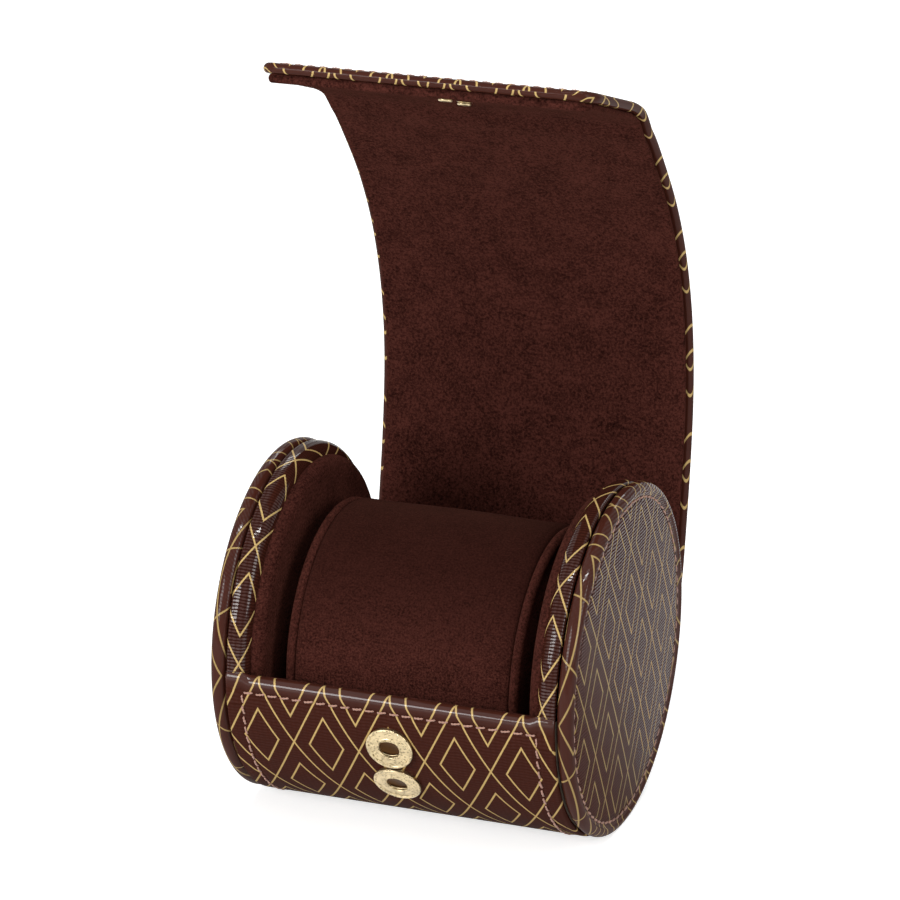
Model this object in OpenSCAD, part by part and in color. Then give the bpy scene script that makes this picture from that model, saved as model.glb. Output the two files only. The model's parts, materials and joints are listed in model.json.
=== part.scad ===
// Roll-shaped travel case for one wristwatch, lying on its side with the lid open.
// +Z is up, +X runs along the barrel, -Y is the front with the snaps.
// The origin is on the resting face, under the middle of the barrel axis.

/* [Barrel] */
// Radius of the round end caps
cap_r = 40; // [36:0.5:46]
// Width between the inner faces of the two end caps
body_w = 77.2; // [66:0.5:96]
// Depth of the flat that the case rests on
base_flat = 1.1; // [0.6:0.1:2]
// How far the leather wrap stands proud of the caps
wrap_proud = 0.2; // [0:0.1:0.6]
// Gap at each end between the wrap and a cap
cap_gap = 0.2; // [0.1:0.1:0.5]
// Thickness of the outer leather
leather_t = 1.3; // [0.8:0.1:1.8]
// Thickness of the stiff board in the tub
board_t = 1.9; // [1.2:0.1:2.6]
// Thickness of the padded suede lining of the tub
lining_t = 2.6; // [1.8:0.1:3.4]
// Height of the front strip's rolled edge above the barrel axis
front_rise = 0.6; // [-2:0.1:3]
// Angle below the barrel axis at which the lid leaves the back
back_angle = 24; // [16:1:32]

/* [End caps] */
// Thickness of a cap at its rolled rim
cap_t = 3.7; // [3.2:0.1:5]
// Depth of the cap's face below its rim
face_sink = 0.4; // [0.2:0.1:0.8]
// Width of the rolled rim, up to the sewn crease
rim_w = 4.6; // [3.6:0.1:6]
// Radius of the sewn crease round the face
crease_r = 0.35; // [0.2:0.05:0.5]
// Thickness of the board in a cap
cap_board_t = 1.4; // [1:0.1:1.6]
// Thickness of the leather turned in behind a cap
hem_t = 0.6; // [0.4:0.1:0.8]
// Width of the leather turned in behind a cap
hem_w = 9; // [6:0.5:14]

/* [Side walls] */
// Thickness of a side wall's board
wall_t = 4; // [3:0.1:6]
// Thickness of the thin leather round a side wall
band_t = 0.8; // [0.5:0.1:1.2]
// Radius of the soft shoulder on a side wall's inner edge
shoulder_r = 2.2; // [1.2:0.1:3]
// Thickness of the suede pad on a side wall
pad_t = 2.6; // [1.8:0.1:4]
// Radius of the pad's soft edge
pad_edge_r = 2; // [1:0.1:2.4]

/* [Lid] */
// Thickness of the lid at its rolled edges
lid_t = 3.6; // [3:0.1:4.6]
// Gap at each side between the lid and a cap
lid_side_gap = 0.4; // [0.3:0.1:1]
// Gap between the closed lid and the side walls' bands
lid_seat = 0.55; // [0.4:0.05:1.5]
// Thickness of the leather on the lid
lid_leather_t = 1.3; // [0.8:0.1:1.6]
// Thickness of the suede on the lid
lid_suede_t = 1; // [0.6:0.1:1.2]
// Width of the leather rim beside the lid's suede
lid_rim_w = 2.6; // [2:0.1:4]
// Length of the lid beyond the bend over the front edge
tip_len = 38.4; // [32:0.2:44]
// Corner radius of the lid's free edge
corner_r = 8; // [3:0.5:12]
// Clearance in the round joints between slats
slat_gap = 0.15; // [0.1:0.05:0.3]
// Lean of the lid's straight end, forwards from upright
tip_lean_angle = 71; // [50:1:80]

/* [Snaps] */
// Angle of the upper snap below the barrel axis
snap_upper_angle = 16.8; // [15:0.2:19]
// Angle of the lower snap below the barrel axis
snap_lower_angle = 33; // [32:0.2:38]
// Radius of a socket's ring
ring_r = 5.45; // [4.5:0.05:5.5]
// Height of a socket's ring above the leather
ring_h = 1; // [0.6:0.1:1.4]
// Depth to which a ring is pressed into the leather
ring_seat = 0.4; // [0.4:0.05:0.6]
// Radius of a socket's hole
socket_r = 2.35; // [2:0.05:2.6]
// Wall of a socket's barrel behind its ring
barrel_wall = 0.6; // [0.4:0.1:0.8]
// Radius of a stud's head
stud_r = 1.6; // [1.2:0.05:1.8]
// Height of a stud's head above its flange
stud_h = 1.7; // [1.2:0.1:2]
// Radius of a stud's flange
flange_r = 4.6; // [3.6:0.1:5]
// Height of a stud's flange above the suede
flange_t = 0.2; // [0.1:0.1:0.4]
// Gap left between a flange and its ring when snapped
snap_gap = 0.3; // [0.2:0.1:0.6]
// Radius of the rivets behind studs and sockets
rivet_r = 4.2; // [3.4:0.1:4.4]
// Thickness of a rivet's plate
rivet_t = 0.6; // [0.4:0.1:0.8]
// Radius of a stud's rivet shank
shank_r = 1.1; // [0.8:0.1:1.3]
// Distance from the lid's snap bend to the upper stud
stud_back = 6; // [5:0.1:7]

/* [Watch pillow] */
// How much smaller the pillow's radius is than the tub's
pillow_slack = 3.2; // [2:0.1:5]
// Gap between the resting pillow and the tub's lining
pillow_rest_gap = 0.37; // [0.3:0.01:0.6]
// Gap at each end between the pillow and a suede pad
pillow_side = 3.8; // [2:0.1:8]
// Angle below the front of the tub towards which the pillow leans
pillow_lean_angle = 48; // [30:1:90]
// Thickness of the pillow's suede sleeve
sleeve_t = 1.2; // [0.8:0.1:2]
// Rise of the pillow's crown from its ends to its middle
pillow_crown = 0.5; // [0.2:0.1:1.5]
// Width of the sewn lip at each end of the pillow
lip_w = 2.2; // [1.6:0.1:3]
// Depth of the seam beside the lip
seam_d = 0.5; // [0.3:0.1:0.8]

/* [Hidden] */
$fn = 96;
// A little more than flush, so that cuts pass right through
over = 1;
// A little less than flush, so that a flat face sinks into a round one that it touches
graze = 0.02;
// Half-size of the blocks that trim whole outlines
far = 3 * cap_r;
main_slats = 9;
slats = main_slats + 3;
upper_stud_slat = main_slats + 2;
// Lean of each long slat from upright, forwards is positive, with the lid open
slat_lean_angle = [-42, -11, -9, -4, 7, 18, 29, 39, 41];

// Barrel, from outside to inside
axis_h = cap_r - base_flat;
wrap_r = cap_r + wrap_proud;
wrap_w = body_w - 2 * cap_gap;
shell_r = wrap_r - leather_t;
shell_drop = axis_h - leather_t;
lined_r = shell_r - board_t;
lined_drop = shell_drop - board_t;
tub_r = lined_r - lining_t;
edge_t = leather_t + board_t;
edge_top_z = front_rise - edge_t / 2;
board_top_z = edge_top_z - leather_t;
plate_top = sqrt(pow(lined_r, 2) - pow(rivet_r, 2)) - ring_seat / 4;

// Side walls, measured along X from the middle of the case
wall_out_x = wrap_w / 2;
wall_in_x = wall_out_x - wall_t;
band_in_x = wall_in_x - band_t;
pad_in_x = band_in_x - pad_t;
band_r = shell_r + band_t;
facing_r = shell_r - shoulder_r;
pad_clear = 0.1;
pad_r = lined_r - pad_clear;
band_front = 180 - asin((front_rise + 0.05) / shell_r);
band_back = 1 - back_angle;

// Lid, as a chain of slats that wraps the bands when it is closed
slat_turn = (180 + back_angle) / main_slats;
hinge_r = (band_r + lid_seat + lid_t / 2) / cos(slat_turn / 2);
slat_len = 2 * hinge_r * sin(slat_turn / 2);
lid_w = body_w - 2 * lid_side_gap;
ramp_turn = acos((wrap_r - lid_t / 2) / hinge_r);

function polar(r, a) = [r * cos(a), r * sin(a)];
function heading(a) = [-sin(a), cos(a)];

back_hinge = polar(hinge_r, -back_angle);
// The snapped end runs at one distance from the axis, square to both studs
snapped_r = wrap_r + ring_h + snap_gap + flange_t + lid_t / 2;
snapped_half = (snap_lower_angle - snap_upper_angle) / 2;
stud_step = snapped_r * tan(snapped_half);
front_bend = [-hinge_r, 0];
snap_bend = polar(snapped_r, 180 + snap_upper_angle) - stud_back * heading(180 + snap_upper_angle);
neck_len = norm(snap_bend - front_bend);
upper_len = stud_back + stud_step;
lower_len = tip_len - neck_len - upper_len - lid_t / 2;

slat_lens = concat([for (k = [1:main_slats]) slat_len], [neck_len, upper_len, lower_len]);
slat_leans = concat(slat_lean_angle, [for (k = [1:3]) tip_lean_angle]);
// Lower hinge of slat k, counted from 0
function hinge(k) = k == 0 ? back_hinge : hinge(k - 1) + slat_lens[k - 1] * heading(slat_leans[k - 1]);

// Pillow
pillow_r = tub_r - pillow_slack;
pillow_half = pad_in_x - pillow_side;
sleeve_half = pillow_half - lip_w;
pillow_at = polar(tub_r - pillow_r - pillow_rest_gap, 180 + pillow_lean_angle);
crown_steps = 8;

burgundy = [0.24, 0.12, 0.13];
suede = [0.25, 0.14, 0.12];
board_grey = [0.45, 0.4, 0.35];
foam = [0.8, 0.77, 0.7];
gold = [0.82, 0.7, 0.45];

// ---- helpers ----

// Stretches a Y-Z outline along X, centred
module along_x(w) {
  rotate([90, 0, 90]) linear_extrude(w, center = true) children();
}

// Turns a radius-X outline about the barrel axis, from angle a by turn t
module about_x(a = 0, t = 360) {
  rotate([a, 0, 0]) rotate([90, 0, 90]) rotate_extrude(angle = t) children();
}

module barrel_frame() {
  translate([0, 0, axis_h]) children();
}

// Mirrors the right-hand part for the left
module side_of(side) {
  mirror([side == "left" ? 1 : 0, 0, 0]) children();
}

// Round outline with the resting flat
module outline(r, drop) {
  intersection() {
    circle(r);
    translate([-far, -drop]) square(2 * far);
  }
}

// Everything below a height at the front and below the hinge angle at the back
module under(front_z, back) {
  polygon([
    [0, front_z], [0, 0], polar(far, -back),
    [far, -far], [-far, -far], [-far, front_z]
  ]);
}

// A piece that is cut flat where the case rests
module flat_cut(drop) {
  intersection() {
    children();
    translate([-far, -far, -drop]) cube([2 * far, 2 * far, 2 * far]);
  }
}

// Places a piece on a snap's axis, with +Z pointing out of the barrel
module at_snap(a) {
  rotate([90 + a, 0, 0]) children();
}

module at_snaps() {
  for (a = [snap_upper_angle, snap_lower_angle]) at_snap(a) children();
}

// Places a piece on slat k: +Y is its leather side, +Z runs towards the free edge
module on_slat(k) {
  p = hinge(k - 1);
  barrel_frame() translate([0, p[0], p[1]]) rotate([slat_leans[k - 1], 0, 0]) children();
}

module pillow_frame() {
  barrel_frame() translate([0, pillow_at[0], pillow_at[1]]) children();
}

// ---- tub ----

// Leather that leaves the barrel on a tangent and ends in the lid's first round joint
module back_ramp() {
  lift_at = -back_angle - ramp_turn;
  polygon([
    polar(wrap_r - graze, lift_at),
    back_hinge + polar(lid_t / 2 - graze, lift_at),
    back_hinge,
    polar(shell_r - graze, -back_angle),
    polar(shell_r - graze, lift_at)
  ]);
  translate(back_hinge) circle(lid_t / 2);
}

// Leather rolled over the front edge: over the board too, or by itself at the ends
module front_edge(t) {
  top_z = front_rise - t / 2;
  middle_y = t / 2 - wrap_r;
  intersection() {
    union() {
      translate([middle_y, top_z]) circle(t / 2);
      translate([middle_y - t / 2, board_top_z - over]) square([t, top_z - board_top_z + over]);
    }
    circle(wrap_r);
    translate([-far, board_top_z - over]) square(2 * far);
  }
}

module wrap_section(t) {
  difference() {
    union() {
      intersection() {
        outline(wrap_r, axis_h);
        under(board_top_z, back_angle + 1);
      }
      back_ramp();
    }
    outline(shell_r, shell_drop);
  }
  difference() {
    front_edge(t);
    intersection() {
      circle(shell_r);
      translate([-far, -far]) square([far, far + board_top_z]);
    }
  }
}

module wrap() {
  color(burgundy) barrel_frame() difference() {
    union() {
      along_x(2 * band_in_x) wrap_section(edge_t);
      for (s = [-1, 1]) translate([s * (wall_out_x + band_in_x) / 2, 0, 0]) {
        along_x(wall_out_x - band_in_x) wrap_section(leather_t);
      }
    }
    at_snaps() {
      translate([0, 0, wrap_r - ring_seat]) cylinder(r = ring_r, h = ring_h + over);
      cylinder(r = socket_r + barrel_wall, h = wrap_r + over);
    }
  }
}

module tub_board() {
  color(board_grey) barrel_frame() difference() {
    along_x(2 * wall_in_x) difference() {
      intersection() {
        outline(shell_r, shell_drop);
        under(board_top_z, back_angle);
      }
      outline(lined_r, lined_drop);
    }
    at_snaps() cylinder(r = socket_r + barrel_wall, h = wrap_r);
  }
}

module tub_lining() {
  color(suede) barrel_frame() difference() {
    along_x(2 * pad_in_x) difference() {
      intersection() {
        outline(lined_r, lined_drop);
        under(edge_top_z, back_angle);
      }
      circle(tub_r);
    }
    at_snaps() translate([0, 0, plate_top - rivet_t - ring_seat]) cylinder(r = rivet_r + ring_seat, h = over + lining_t);
  }
}

// ---- ends ----

module cap_leather(side) {
  rim_r = cap_t / 2;
  board_r = cap_r - rim_r;
  color(burgundy) barrel_frame() side_of(side) translate([body_w / 2, 0, 0]) {
    flat_cut(axis_h) about_x() difference() {
      union() {
        translate([cap_r - rim_r, rim_r]) circle(rim_r, $fn = 40);
        translate([cap_r - rim_w, 0]) square([rim_w - rim_r, cap_t]);
        square([cap_r - rim_w, cap_t - face_sink]);
      }
      translate([cap_r - rim_w, cap_t - face_sink]) circle(crease_r, $fn = 16);
      translate([0, hem_t]) square([board_r, cap_board_t]);
      translate([0, -over]) square([board_r - hem_w, hem_t + 2 * over]);
    }
  }
}

module cap_board(side) {
  color(board_grey) barrel_frame() side_of(side) translate([body_w / 2 + hem_t, 0, 0]) {
    about_x() square([cap_r - cap_t / 2, cap_board_t]);
  }
}

// Outline of a side wall with its soft inner shoulder, grown by g
module wall_outline(g) {
  mid_r = shell_r - shoulder_r;
  mid_x = wall_in_x + shoulder_r;
  translate([0, wall_in_x - g]) square([mid_r, wall_t + g]);
  translate([0, mid_x]) square([shell_r + g, wall_out_x - mid_x]);
  translate([mid_r, mid_x]) circle(shoulder_r + g);
}

module wall_board(side) {
  color(board_grey) barrel_frame() side_of(side) flat_cut(shell_drop) about_x() {
    intersection() {
      wall_outline(0);
      translate([0, wall_in_x]) square([cap_r, wall_t]);
    }
  }
}

// Everything in front of and below a side wall's band
module below_band() {
  polygon([
    polar(far, band_back), [0, 0], polar(far, band_front), [-far, -far], [far, -far]
  ]);
}

// Thin leather over a side wall's edge, which also backs the pad
module wall_band(side) {
  color(burgundy) barrel_frame() side_of(side) difference() {
    flat_cut(lined_drop - pad_clear) about_x() difference() {
      intersection() {
        wall_outline(band_t);
        translate([0, band_in_x]) square([cap_r, wall_t + band_t]);
      }
      wall_outline(0);
    }
    along_x(body_w) difference() {
      below_band();
      circle(facing_r - band_t / 2);
    }
  }
}

module wall_pad(side) {
  color(suede) barrel_frame() side_of(side) flat_cut(lined_drop - pad_clear) {
    about_x() intersection() {
      translate([0, pad_in_x]) square([pad_r, pad_t]);
      union() {
        square([pad_r - pad_edge_r, 2 * pad_in_x]);
        translate([0, pad_in_x + pad_edge_r]) square([pad_r, pad_t]);
        translate([pad_r - pad_edge_r, pad_in_x + pad_edge_r]) circle(pad_edge_r);
      }
    }
  }
}

// ---- snaps ----

module snap_sockets() {
  lip = 0.35;
  color(gold) barrel_frame() at_snaps() rotate_extrude() difference() {
    union() {
      translate([0, wrap_r - ring_seat]) square([ring_r - lip, ring_seat + ring_h]);
      translate([0, wrap_r - ring_seat]) square([ring_r, ring_seat + ring_h - lip]);
      translate([ring_r - lip, wrap_r + ring_h - lip]) circle(lip, $fn = 32);
      translate([0, lined_r]) square([socket_r + barrel_wall, wrap_r - lined_r]);
    }
    square([socket_r, 2 * wrap_r]);
    translate([(ring_r + socket_r) / 2, wrap_r + ring_h]) circle(lip, $fn = 32);
  }
}

// Plates behind the board, each with a plug that closes its socket
module socket_rivets() {
  plug_top = shell_r - leather_t;
  color(gold) barrel_frame() at_snaps() {
    translate([0, 0, plate_top - rivet_t]) cylinder(r = rivet_r, h = rivet_t);
    translate([0, 0, plate_top - graze]) cylinder(r = socket_r - slat_gap, h = plug_top - plate_top);
  }
}

module stud(at) {
  dome = stud_r / 2;
  rotate([90, 0, 0]) translate([0, at, lid_t / 2]) {
    cylinder(r = flange_r, h = flange_t);
    rotate_extrude() {
      translate([0, flange_t]) square([stud_r, stud_h - dome]);
      translate([0, flange_t]) square([stud_r - dome, stud_h]);
      translate([stud_r - dome, flange_t + stud_h - dome]) circle(dome, $fn = 32);
    }
  }
}

module stud_rivet(at) {
  rotate([90, 0, 0]) translate([0, at, lid_leather_t - lid_t / 2]) {
    cylinder(r = rivet_r, h = rivet_t);
    cylinder(r = shank_r, h = lid_t - lid_leather_t);
  }
}

// ---- lid ----

// Side view of a slat: hollow round foot, round head, leather side towards +X
module slat_side(len) {
  difference() {
    union() {
      translate([-lid_t / 2, 0]) square([lid_t, len]);
      translate([0, len]) circle(lid_t / 2);
    }
    circle(lid_t / 2 + slat_gap);
  }
}

// Cross-section of the whole lid, with its rolled edges
module lid_section() {
  half = (lid_w - lid_t) / 2;
  translate([-half, -lid_t / 2]) square([2 * half, lid_t]);
  for (s = [-1, 1]) translate([s * half, 0]) circle(lid_t / 2);
}

// Plan of the lid's free end, with round corners
module free_end_plan(inset) {
  len = lower_len + lid_t / 2 - inset;
  half = lid_w / 2 - inset;
  r = corner_r - inset;
  translate([-half, -lid_t]) square([2 * half, len + lid_t - r]);
  translate([-half + r, -lid_t]) square([2 * (half - r), len + lid_t]);
  for (s = [-1, 1]) translate([s * (half - r), len - r]) circle(r);
}

// A slat's solid between two depths, y_in to y_out, and drawn in from the edges
module slat_layer(k, y_in, y_out, inset) {
  len = slat_lens[k - 1];
  intersection() {
    along_x(lid_w - 2 * inset) intersection() {
      slat_side(len);
      translate([y_in, -lid_t]) square([y_out - y_in, len + 2 * lid_t - (k == slats ? inset : 0)]);
    }
    if (k == slats) rotate([90, 0, 0]) linear_extrude(2 * lid_t, center = true) free_end_plan(inset);
  }
}

module lid_leather(k) {
  color(burgundy) on_slat(k) difference() {
    intersection() {
      slat_layer(k, -lid_t / 2, lid_t / 2, 0);
      translate([0, 0, -lid_t]) linear_extrude(slat_lens[k - 1] + 3 * lid_t) lid_section();
    }
    lid_filling(k, -lid_t, lid_t / 2 - lid_leather_t);
  }
}

// The room inside the leather, between two depths
module lid_filling(k, y_in, y_out) {
  slat_layer(k, y_in, y_out, lid_rim_w);
}

module lid_board(k) {
  color(board_grey) on_slat(k) difference() {
    lid_filling(k, lid_suede_t - lid_t / 2, lid_t / 2 - lid_leather_t);
    stud_room(k);
  }
}

module lid_suede(k) {
  color(suede) on_slat(k) difference() {
    lid_filling(k, -lid_t / 2, lid_suede_t - lid_t / 2);
    stud_room(k);
  }
}

// Room for a stud's rivet in the two slats that carry one
module stud_room(k) {
  at = k == upper_stud_slat ? stud_back : stud_step;
  if (k >= upper_stud_slat) stud_rivet(at);
}

// ---- watch pillow ----

function crown_r(u) = pillow_r - pillow_crown * pow(u, 2);

module pillow_profile(inset) {
  half = sleeve_half;
  polygon(concat(
    [[0, -half], for (i = [-crown_steps:crown_steps])
      [crown_r(i / crown_steps) - inset, half * i / crown_steps]],
    [[0, half]]
  ));
}

module pillow_sleeve() {
  color(suede) pillow_frame() about_x() difference() {
    pillow_profile(0);
    pillow_profile(sleeve_t);
    for (s = [-1, 1]) translate([crown_r(1), s * sleeve_half]) circle(seam_d, $fn = 32);
  }
}

module pillow_core() {
  color(foam) pillow_frame() about_x() pillow_profile(sleeve_t);
}

// A sewn-in end disc with a soft lip
module pillow_end(side) {
  lip_r = lip_w / 2;
  rim = crown_r(1);
  color(suede) pillow_frame() side_of(side) about_x() difference() {
    union() {
      translate([0, sleeve_half]) square([rim - lip_r, lip_w]);
      translate([rim - lip_r, sleeve_half + lip_r]) circle(lip_r, $fn = 32);
    }
    translate([0, sleeve_half + lip_w]) square([rim - 2 * lip_w, seam_d]);
  }
}

// ---- one line for each node ----

wrap();
tub_board();
tub_lining();
for (side = ["left", "right"]) {
  cap_leather(side);
  cap_board(side);
  wall_board(side);
  wall_band(side);
  wall_pad(side);
  pillow_end(side);
}
snap_sockets();
socket_rivets();
pillow_sleeve();
pillow_core();
for (k = [1:slats]) {
  lid_leather(k);
  lid_board(k);
  lid_suede(k);
}
color(gold) on_slat(upper_stud_slat) stud(stud_back);  // stud_upper
color(gold) on_slat(slats) stud(stud_step);  // stud_lower
color(gold) on_slat(upper_stud_slat) stud_rivet(stud_back);  // stud_rivet_upper
color(gold) on_slat(slats) stud_rivet(stud_step);  // stud_rivet_lower
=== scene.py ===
"""Dresses the watch travel case in leather, suede, thread and pale gold snaps, in a plain studio.

Lengths are in metres. Places on the hide and sizes inside the materials are in millimetres, and angles in
degrees. +X runs along the barrel, -Y to the front and +Z up.
"""

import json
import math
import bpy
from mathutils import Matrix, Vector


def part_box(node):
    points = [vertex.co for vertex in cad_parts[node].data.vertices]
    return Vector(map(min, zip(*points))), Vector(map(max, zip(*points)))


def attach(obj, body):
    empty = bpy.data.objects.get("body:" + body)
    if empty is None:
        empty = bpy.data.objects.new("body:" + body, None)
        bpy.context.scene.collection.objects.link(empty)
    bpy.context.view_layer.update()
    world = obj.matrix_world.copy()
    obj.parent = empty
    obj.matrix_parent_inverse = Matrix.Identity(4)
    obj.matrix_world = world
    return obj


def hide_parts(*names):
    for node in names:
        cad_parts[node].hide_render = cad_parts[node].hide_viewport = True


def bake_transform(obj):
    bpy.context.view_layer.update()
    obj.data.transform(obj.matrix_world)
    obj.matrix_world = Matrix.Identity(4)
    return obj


bl_info = {
    "name": "Watch Travel Case",
    "version": (1, 0, 0),
    "blender": (4, 5, 0),
    "location": "View3D > Sidebar > Watch Case",
    "description": "Builds the leather, suede, thread and snaps of a roll-shaped watch case",
    "category": "Object",
}

import bmesh
import bpy
import numpy as np
from mathutils import Vector

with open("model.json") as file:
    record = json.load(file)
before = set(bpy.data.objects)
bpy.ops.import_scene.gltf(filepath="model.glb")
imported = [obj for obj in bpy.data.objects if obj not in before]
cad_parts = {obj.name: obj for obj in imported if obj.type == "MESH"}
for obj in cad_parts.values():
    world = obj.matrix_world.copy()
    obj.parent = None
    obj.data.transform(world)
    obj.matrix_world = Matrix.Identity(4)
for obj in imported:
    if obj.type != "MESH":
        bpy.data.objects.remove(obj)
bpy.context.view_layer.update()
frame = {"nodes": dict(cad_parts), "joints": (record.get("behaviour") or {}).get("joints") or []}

MM = 0.001
FULL_TURN = 2 * math.pi


# ---- sizes read from the frame ----


def span(node, axis):
    """The lowest and highest coordinate of a CAD node along one axis."""
    low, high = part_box(node)
    return low[axis], high[axis]


def width(node, axis):
    low, high = span(node, axis)
    return high - low


CAP_R = width("cap_leather_right", 1) / 2
AXIS_Z = span("cap_leather_right", 2)[1] - CAP_R
CAP_X, CAP_OUT_X = span("cap_leather_right", 0)
WRAP_R = -span("wrap", 1)[0]
WRAP_HALF = span("wrap", 0)[1]
EDGE_Z = span("tub_lining", 2)[1]
LINING_OUT_R = -span("tub_lining", 1)[0]
BAND_R = span("wall_band_right", 2)[1] - AXIS_Z
BAND_IN_X, BAND_OUT_X = span("wall_band_right", 0)
PAD_R = span("wall_pad_right", 2)[1] - AXIS_Z
PAD_IN_X, PAD_OUT_X = span("wall_pad_right", 0)
LID_HALF = span("lid_leather_5", 0)[1]
LID_T = 3.6 * MM  # leather, board and suede together
PILLOW_R = width("pillow_sleeve", 1) / 2
PILLOW_HALF = span("pillow_end_right", 0)[1]
PILLOW_LIP = width("pillow_end_right", 0)
PILLOW_Y = sum(span("pillow_sleeve", 1)) / 2
PILLOW_Z = sum(span("pillow_sleeve", 2)) / 2
HINGES = {
    joint["child"]: Vector((joint["pos_m"][1], joint["pos_m"][2] - AXIS_Z))
    for joint in frame["joints"]
    if joint["type"] == "hinge"
}
LID_BODIES = [f"lid_{k}" for k in range(1, 10)] + ["tip_1", "tip_2", "tip_3"]


# ---- shapes in the Y-Z plane, counted from the barrel's axis ----


def polar(radius, degrees):
    """A point round the barrel's axis: 0 degrees is the back, 90 the top and 180 the front."""
    turn = math.radians(degrees)
    return Vector((radius * math.cos(turn), radius * math.sin(turn)))


def outwards(direction):
    """The leather side of a lid that runs in this direction."""
    return Vector((direction[1], -direction[0]))


def ease(low, high, value):
    """A smooth step from 0 at low to 1 at high."""
    t = np.clip((value - low) / (high - low), 0, 1)
    return t * t * (3 - 2 * t)


def arc(centre, radius, start, end, count):
    turns = np.radians(np.linspace(start, end, count))
    return np.stack([centre[0] + radius * np.cos(turns), centre[1] + radius * np.sin(turns)], 1)


def run(points):
    """The distance along a line of points, from 0."""
    return np.concatenate([[0], np.cumsum(np.linalg.norm(np.diff(points, axis=0), axis=1))])


# ---- meshes ----


def piece(name, mesh, material):
    made = bpy.data.objects.new(name, mesh)
    bpy.context.scene.collection.objects.link(made)
    made.data.materials.append(material)
    return made


def loft(name, points, cut, material, around=False):
    """A smooth piece through rows of points.

    cut is each point's place on the flat hide, and has one more column than points where the rows close on
    themselves.
    """
    rows, columns = points.shape[:2]
    i, j = np.meshgrid(np.arange(rows - 1), np.arange(columns if around else columns - 1), indexing="ij")
    i, j = i.ravel(), j.ravel()
    corners = [(i, j), (i, j + 1), (i + 1, j + 1), (i + 1, j)]
    faces = np.stack([a * columns + b % columns for a, b in corners], 1)
    flat = np.stack([cut[a, b] for a, b in corners], 1).reshape(-1, 2)
    mesh = bpy.data.meshes.new(name)
    mesh.from_pydata(points.reshape(-1, 3).tolist(), [], faces.tolist())
    mesh.uv_layers.new(name="cut").data.foreach_set("uv", flat.ravel())
    return piece(name, tidy(mesh), material)


def tidy(mesh):
    """Welds points that meet, turns every face outwards and shades the mesh smooth."""
    work = bmesh.new()
    work.from_mesh(mesh)
    bmesh.ops.remove_doubles(work, verts=work.verts, dist=0.001 * MM)
    bmesh.ops.recalc_face_normals(work, faces=work.faces)
    work.to_mesh(mesh)
    work.free()
    mesh.shade_smooth()
    return mesh


def revolve(
    name, profile, material, start=0, turn=360, steps=240, about=(0, AXIS_Z), floor=None, flat_face=False
):
    """Turns a profile of (radius, x) rows about the barrel's axis, or one beside it.

    What would reach below the floor is flattened on it. flat_face lays the hide out from the middle of a
    disc, and otherwise it is laid out along the turn.
    """
    profile = np.asarray(profile)
    full = turn == 360
    angles = np.radians(start + np.linspace(0, turn, steps + 1))
    along = run(profile) / MM
    radius, x = profile[:, 0], profile[:, 1]
    shown = angles[:-1] if full else angles
    points = np.empty((len(profile), len(shown), 3))
    points[..., 0] = x[:, None]
    points[..., 1] = about[0] + radius[:, None] * np.cos(shown)
    points[..., 2] = about[1] + radius[:, None] * np.sin(shown)
    if floor is not None:
        points[..., 2] = np.maximum(points[..., 2], floor)
    if flat_face:
        cut = np.stack([along[:, None] * np.cos(angles), along[:, None] * np.sin(angles)], 2)
    else:
        widest = radius.max() / MM
        cut = np.stack(np.broadcast_arrays(along[:, None], widest * angles[None, :]), 2)
    return loft(name, points, cut, material, around=full)


def join(name, parts, material):
    """One mesh of several, each (vertices, faces, cut)."""
    vertices, faces, cut, base = [], [], [], 0
    for points, polygons, flat in parts:
        vertices.append(points)
        faces += [[base + v for v in polygon] for polygon in polygons]
        cut.append(flat)
        base += len(points)
    mesh = bpy.data.meshes.new(name)
    mesh.from_pydata(np.concatenate(vertices).tolist(), [], faces)
    mesh.uv_layers.new(name="cut").data.foreach_set("uv", np.concatenate(cut).ravel())
    return piece(name, tidy(mesh), material)


def stitch_row(name, centres, directions, normals, material, settings, seed=1):
    """A row of short thread stitches, beaded by their twist, whose ends dive into the leather."""
    rings, sides = 17, 8
    slant_spread, size_spread = 2.5, 0.05
    rng = np.random.default_rng(seed)
    length, radius = settings.length, settings.thickness / 2
    t = np.linspace(-1, 1, rings)
    turns = np.linspace(0, FULL_TURN, sides, endpoint=False)
    faces = [
        [i * sides + j, i * sides + (j + 1) % sides, (i + 1) * sides + (j + 1) % sides, (i + 1) * sides + j]
        for i in range(rings - 1)
        for j in range(sides)
    ]
    faces += [list(range(sides))[::-1], list(range((rings - 1) * sides, rings * sides))]
    parts = []
    for centre, direction, normal in zip(centres, directions, normals):
        along = direction / np.linalg.norm(direction)
        up = normal / np.linalg.norm(normal)
        side = np.cross(up, along)
        slant = math.radians(settings.slant + rng.normal(0, slant_spread))
        c, s = math.cos(slant), math.sin(slant)
        along, side = along * c + side * s, side * c - along * s
        beads = 0.86 + 0.2 * np.cos(3 * math.pi * t)
        fat = radius * (1 - 0.4 * t**4) * (1 + rng.normal(0, size_spread)) * beads
        lift = radius * (0.55 - 1.5 * t**4)
        core = centre + np.outer(t * length / 2, along) + np.outer(lift, up)
        ring = np.outer(np.cos(turns), side) + np.outer(np.sin(turns), up) * 0.8
        points = (core[:, None, :] + fat[:, None, None] * ring[None]).reshape(-1, 3)
        places = np.stack(np.meshgrid(t * length / MM, turns / FULL_TURN, indexing="ij"), 2).reshape(-1, 2)
        flat = np.concatenate([places[polygon] for polygon in faces])
        parts.append((points, faces, flat))
    made = join(name, parts, material)
    return made


# ---- materials ----


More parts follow.
